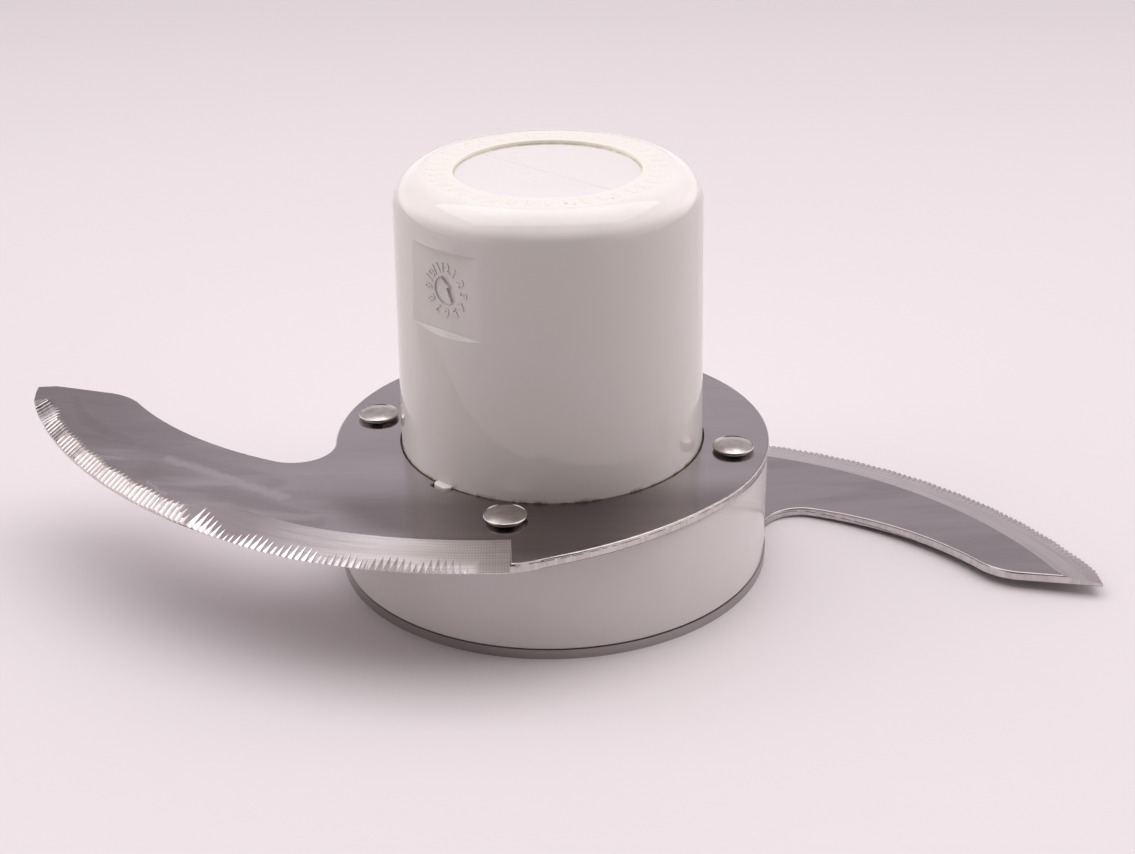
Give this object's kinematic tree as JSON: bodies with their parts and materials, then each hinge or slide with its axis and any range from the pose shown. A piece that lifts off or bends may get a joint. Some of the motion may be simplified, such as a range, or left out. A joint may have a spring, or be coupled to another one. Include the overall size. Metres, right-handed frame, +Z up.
{
  "type": "food processor blade",
  "caption": "Two-blade cutter on a tall moulded hub: curved, serrated steel blades riveted above and below a white base, with a drive bore from below.",
  "frame": {"origin": "on the drive axis, at the mouth of the drive bore, level with the lower blade's underside", "axes": "+Z up the hub along the drive axis, -X out along the upper blade, +X out along the lower blade"},
  "size_m": [0.1778, 0.086, 0.0674],
  "materials": {
    "hub_plastic": "moulded, glossy",
    "blade_steel": "rolled sheet, ground bevel",
    "rivet_steel": "polished domed heads"
  },
  "bodies": {
    "root": {"hub": "hub_plastic", "upper_blade": "blade_steel", "lower_blade": "blade_steel", "rivet_1": "rivet_steel", "rivet_2": "rivet_steel", "rivet_3": "rivet_steel", "rivet_4": "rivet_steel"}
  },
  "joints": []
}
